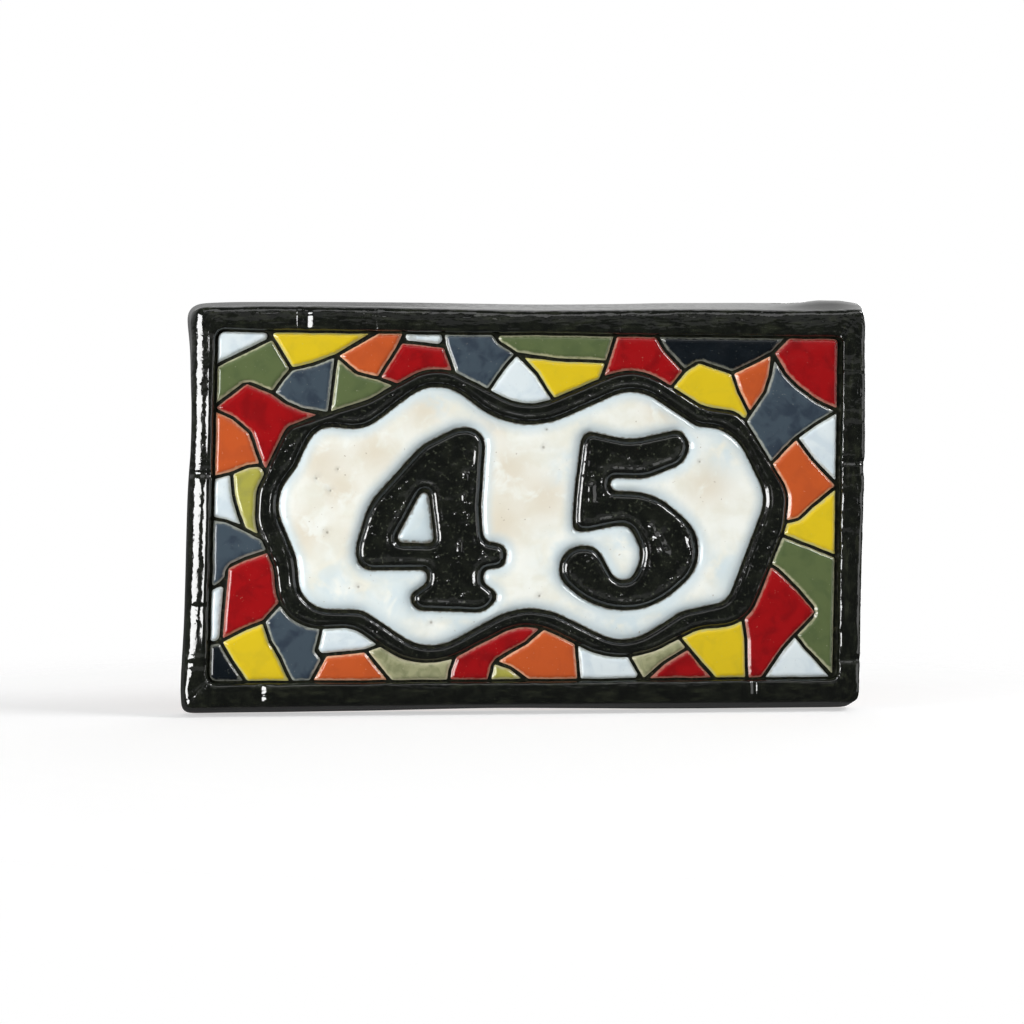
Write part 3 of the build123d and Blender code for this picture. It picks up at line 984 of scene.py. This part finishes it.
def black_glaze(name, bubbles, lumps, brushed, rough):
    """Thick black glaze with a lumpy skin, pimpled by bubbles or brushed along the rim."""
    f = Finish(name)
    cloud = f.ramp(f.grain(3.0, 4, 1.3), 0.4, 0.72)
    body = f.mix(cloud, linear(9, 12, 8), linear(23, 26, 19))
    # Painted shade: the glaze darkens towards its edge, where the pool slopes down into the dry line.
    body = f.mix(f.ramp(f.inset(), 0.0, 0.9), linear(10, 10, 8), body)
    pale = f.times(f.ramp(f.grain(0.75, 4, 4.1), 0.56, 0.74), f.ramp(f.inset(), 0.5, 1.2))
    body = f.mix(f.times(pale, bubbles), body, linear(72, 76, 63))
    along = f.noted("streak", "Vector")
    brush = f.noted("brush")
    off_tone = f.add("ShaderNodeTexNoise", {"Vector": along, "Scale": 0.8, "Detail": 4.0}).outputs[0]
    body = f.mix(f.times(f.ramp(off_tone, 0.5, 0.72), brush, brushed * 0.9), body, linear(60, 64, 48))
    gloss = f.ramp(f.grain(1.6, 3, 5.0), 0.3, 0.7, rough, rough + 0.11)
    f.look(Base_Color=body, Roughness=gloss, IOR=1.75)
    cells = f.add("ShaderNodeTexVoronoi", {"Vector": f.place, "Scale": 1000 / 1.3}).outputs["Distance"]
    few = f.times(f.ramp(f.grain(3.0, 2, 7.7), 0.52, 0.66), f.ramp(f.inset(), 0.6, 1.4))
    pimple = f.times(f.ramp(cells, 0.34, 0.05), few)
    strokes = f.add("ShaderNodeTexNoise", {"Vector": along, "Scale": 0.5, "Detail": 2.0}).outputs[0]
    f.bump((f.grain(3.4, 2, 1.0), lumps), (f.grain(1.2, 2, 3.0), lumps * 0.3), (pimple, bubbles * 0.32),
           (f.times(strokes, brush), brushed))
    return f.material


def panel_glaze():
    """Milky glaze of the panel: warm where thin, with bluish patches that are in part painted shade, and
    painted bluish grey shade along its edges.
    """
    f = Finish("panel_glaze")
    cloud = f.ramp(f.grain(6.5, 4, 0.2, 0.4), 0.38, 0.66)
    body = f.mix(cloud, linear(238, 240, 233), linear(229, 229, 217))
    blotch = f.ramp(f.grain(4.5, 3, 8.0, 0.5), 0.30, 0.52)
    body = f.mix(f.times(f.noted("warm"), blotch, 0.8), body, linear(219, 210, 190))
    # Bluish patches, in part painted shade beside the numerals and in the eye of the 4.
    veil = f.ramp(f.grain(5.0, 3, 3.0, 0.5), 0.32, 0.6)
    body = f.mix(f.times(f.noted("cool"), veil, 0.8), body, linear(203, 219, 225))
    # Painted shade: the glaze turns bluish grey towards its edges, where it curves down into the dry lines,
    # and dark grey right at them.
    depth = f.inset()
    body = f.mix(f.ramp(depth, 0.2, 3.2, 0.1, 1.0), linear(193, 207, 212), body)
    body = f.mix(f.ramp(depth, 0.0, 0.35), linear(120, 118, 110), body)
    speck = f.ramp(f.grain(0.9, 2, 9.2), 0.735, 0.77)
    body = f.mix(f.times(speck, 0.55), body, linear(140, 122, 100))
    body = f.mix(f.times(f.noted("pit"), 0.7), body, linear(118, 108, 94))
    f.look(Base_Color=body, Roughness=f.ramp(f.grain(3.5, 3, 5.0), 0.3, 0.7, 0.10, 0.26), IOR=1.5)
    f.bump((f.grain(4.5, 2, 1.0), 0.10), (f.grain(1.1, 2, 3.0), 0.018))
    return f.material


def dry_line():
    """Dark dry line left between the pools."""
    f = Finish("dry_line")
    cloud = f.ramp(f.grain(1.4, 4, 1.3), 0.38, 0.7)
    body = f.mix(cloud, linear(17, 19, 13), linear(36, 38, 26))
    pale = f.ramp(f.grain(0.6, 3, 4.1), 0.6, 0.76)
    body = f.mix(f.times(pale, 0.45), body, linear(96, 90, 66))
    dull = f.ramp(f.grain(1.0, 3, 5.0), 0.3, 0.7, 0.4, 0.7)
    f.look(Base_Color=body, Roughness=dull, Specular_IOR_Level=0.12)
    f.bump((f.grain(0.7, 3, 3.0), 0.06))
    return f.material


def bare_clay():
    """Unglazed fired clay of the back."""
    f = Finish("bare_clay")
    cloud = f.ramp(f.grain(9.0, 5, 1.3), 0.35, 0.68)
    body = f.mix(cloud, linear(178, 124, 92), linear(196, 148, 114))
    grog = f.ramp(f.grain(0.8, 2, 2.7), 0.66, 0.72)
    body = f.mix(f.times(grog, 0.5), body, linear(130, 84, 62))
    f.look(Base_Color=body, Roughness=f.ramp(f.grain(2.0, 3, 5.0), 0.3, 0.7, 0.75, 0.95))
    f.bump((f.grain(3.0, 4, 1.0), 0.12), (f.grain(0.6, 3, 3.0), 0.05))
    return f.material


# The finishes: a black glaze has its bubbles, lumps, brush marks and roughness, and a coloured one has its
# colour, its mottle, its colour at the edge, where the glaze thins and a highlight is painted, how much
# mottle and its size
FINISHES = {
    "black": black_glaze("black_glaze", 0.6, 0.1, 0.0, 0.08),
    "rim": black_glaze("rim_glaze", 0.12, 0.22, 0.34, 0.05),
    "flank": black_glaze("flank_glaze", 0.0, 0.03, 0.02, 0.05),
    "line": dry_line(),
    "panel": panel_glaze(),
    "clay": bare_clay(),
    "white": glaze("white_glaze", (218, 228, 231), (196, 210, 218), (176, 182, 178), 0.7, 5.0),
    "yellow": glaze("yellow_glaze", (214, 186, 32), (197, 173, 38), (186, 180, 110), 0.5),
    "orange": glaze("orange_glaze", (189, 85, 40), (172, 77, 40), (214, 160, 128), 0.5),
    "red": glaze("red_glaze", (151, 15, 19), (116, 12, 16), (168, 112, 98), 0.6),
    "green": glaze("green_glaze", (89, 102, 65), (76, 90, 58), (168, 168, 138), 0.6),
    "slate": glaze("slate_glaze", (64, 76, 86), (40, 49, 62), (150, 154, 146), 0.7, 3.4),
    "navy": glaze("navy_glaze", (12, 18, 23), (21, 27, 32), (110, 112, 104), 0.6),
    "olive": glaze("olive_glaze", (154, 155, 120), (124, 127, 94), (184, 180, 150), 0.9, 2.6),
    "lime": glaze("lime_glaze", (164, 160, 72), (140, 140, 78), (184, 180, 136), 0.6),
}


def strength(where, spots):
    """How strongly points lie in soft spots of the drawing, from 0 to 1."""
    return np.clip(spread(where, [(*drawn(across, up), 1, size) for across, up, size in spots]), 0, 1)


def lay_out(mesh, where, faces, finish):
    """Lays the front, and the back at about half its size, on one flat map."""
    corner = np.empty(len(mesh.loops), int)
    mesh.loops.foreach_get("vertex_index", corner)
    clay = np.repeat([name == "clay" for name in finish], [len(face) for face in faces])

    def mapped(across, up, scale):
        return across + where[corner, 0] / scale, up + where[corner, 1] / scale

    front, back = mapped(*FRONT_MAP), mapped(*BACK_MAP)
    uv = np.column_stack([np.where(clay, back[k], front[k]) for k in (0, 1)])
    mesh.uv_layers.new(name="OFBake").data.foreach_set("uv", uv.ravel().astype(np.float32))


def add_plaque():
    """The glazed plaque as one mesh."""
    where, high, faces, finish, values = build()
    mesh = bpy.data.meshes.new("plaque_glazed")
    points = np.column_stack([where[:, 0], -high, where[:, 1]]) / 1000
    mesh.from_pydata(points.tolist(), [], faces)
    names = list(FINISHES)
    for name in names:
        mesh.materials.append(FINISHES[name])
    mesh.polygons.foreach_set("material_index", [names.index(name) for name in finish])
    mesh.polygons.foreach_set("use_smooth", [True] * len(faces))
    mesh.set_sharp_from_angle(angle=math.radians(SHARP_TURN))
    values.update(warm=strength(where, WARM), cool=strength(where, COOL_AND_SHADE), pit=strength(where, PITS))
    for name, value in values.items():
        kind, slot = ("FLOAT", "value") if value.ndim == 1 else ("FLOAT_VECTOR", "vector")
        mesh.attributes.new(name, kind, "POINT").data.foreach_set(slot, value.astype(np.float32).ravel())
    lay_out(mesh, where, faces, finish)
    mesh.update()
    plaque = bpy.data.objects.new("plaque_glazed", mesh)
    bpy.context.scene.collection.objects.link(plaque)
    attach(plaque, "root")
    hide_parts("plaque")


def add_stage(low):
    """White floor under the plaque that fades into the white background."""
    size = STAGE_SIZE
    corners = [(-size, -size, low), (size, -size, low), (size, size, low), (-size, size, low)]
    mesh = bpy.data.meshes.new("floor")
    mesh.from_pydata(corners, [], [(0, 1, 2, 3)])
    floor = bpy.data.objects.new("floor", mesh)
    bpy.context.scene.collection.objects.link(floor)
    f = Finish("floor_white")
    f.look(Base_Color=STAGE_GREY, Emission_Color=(1, 1, 1, 1), Roughness=0.9, Specular_IOR_Level=0.0)
    path = f.add("ShaderNodeLightPath").outputs
    far = f.add("ShaderNodeVectorMath", {0: f.place}, operation="LENGTH").outputs["Value"]
    near = f.ramp(far, *STAGE_FADE, 1.0, 0.0)
    f.look(
        Emission_Strength=f.times(path["Is Camera Ray"], STAGE_GLOW),
        Alpha=f.times(near, f.join("SUBTRACT", 1.0, path["Is Glossy Ray"])),
    )
    mesh.materials.append(f.material)


def add_lamp(name, place, aim, wide, tall, power):
    """A soft box lamp that faces a point."""
    lamp = bpy.data.lights.new(name, "AREA")
    lamp.shape = "RECTANGLE"
    lamp.size = wide
    lamp.size_y = tall
    lamp.energy = power
    box = bpy.data.objects.new(name, lamp)
    box.location = place
    box.rotation_euler = (Vector(aim) - Vector(place)).to_track_quat("-Z", "Y").to_euler()
    bpy.context.scene.collection.objects.link(box)


def add_world():
    """White surround. The glaze mirrors it more dimly, and only behind and above the plaque."""
    world = bpy.data.worlds.new("surround")
    world.use_nodes = True
    bpy.context.scene.world = world
    nodes, links = world.node_tree.nodes, world.node_tree.links

    def ranged(value, low, high, top):
        node = nodes.new("ShaderNodeMapRange")
        links.new(value, node.inputs["Value"])
        for name, number in (("From Min", low), ("From Max", high), ("To Max", top)):
            node.inputs[name].default_value = number
        return node.outputs[0]

    def joined(way, first, second):
        node = nodes.new("ShaderNodeMath")
        node.operation = way
        links.new(first, node.inputs[0])
        links.new(second, node.inputs[1])
        return node.outputs[0]

    path = nodes.new("ShaderNodeLightPath").outputs
    side = nodes.new("ShaderNodeSeparateXYZ")
    links.new(nodes.new("ShaderNodeTexCoord").outputs["Generated"], side.inputs[0])
    behind = ranged(side.outputs["Y"], *BEHIND, 1.0)
    above = ranged(side.outputs["Z"], *ABOVE, MIRRORED)
    bounced = joined("MAXIMUM", path["Is Glossy Ray"], path["Is Transmission Ray"])
    mirrored = joined("MULTIPLY", bounced, joined("MULTIPLY", behind, above))
    pick = nodes.new("ShaderNodeMix")
    links.new(joined("MAXIMUM", path["Is Camera Ray"], mirrored), pick.inputs[0])
    pick.inputs[2].default_value = DIM
    pick.inputs[3].default_value = 1.0
    links.new(pick.outputs[0], nodes["Background"].inputs["Color"])


def add_camera():
    """A view a little from the left and from below the middle."""
    data = bpy.data.cameras.new("camera")
    data.lens = LENS
    data.sensor_width = SENSOR
    data.shift_x, data.shift_y = SHIFT
    data.clip_start = 0.01
    camera = bpy.data.objects.new("camera", data)
    turn, tilt = math.radians(TURN), math.radians(TILT)
    back = Vector((math.sin(turn) * math.cos(tilt), -math.cos(turn) * math.cos(tilt), math.sin(tilt)))
    camera.location = Vector(AIM) + back * DISTANCE
    camera.rotation_euler = (-back).to_track_quat("-Z", "Y").to_euler()
    bpy.context.scene.collection.objects.link(camera)
    bpy.context.scene.camera = camera


add_plaque()
add_stage(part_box("plaque")[0].z)
for lamp in LAMPS:
    add_lamp(*lamp)
add_world()
add_camera()
bpy.context.scene.view_settings.view_transform = "Standard"
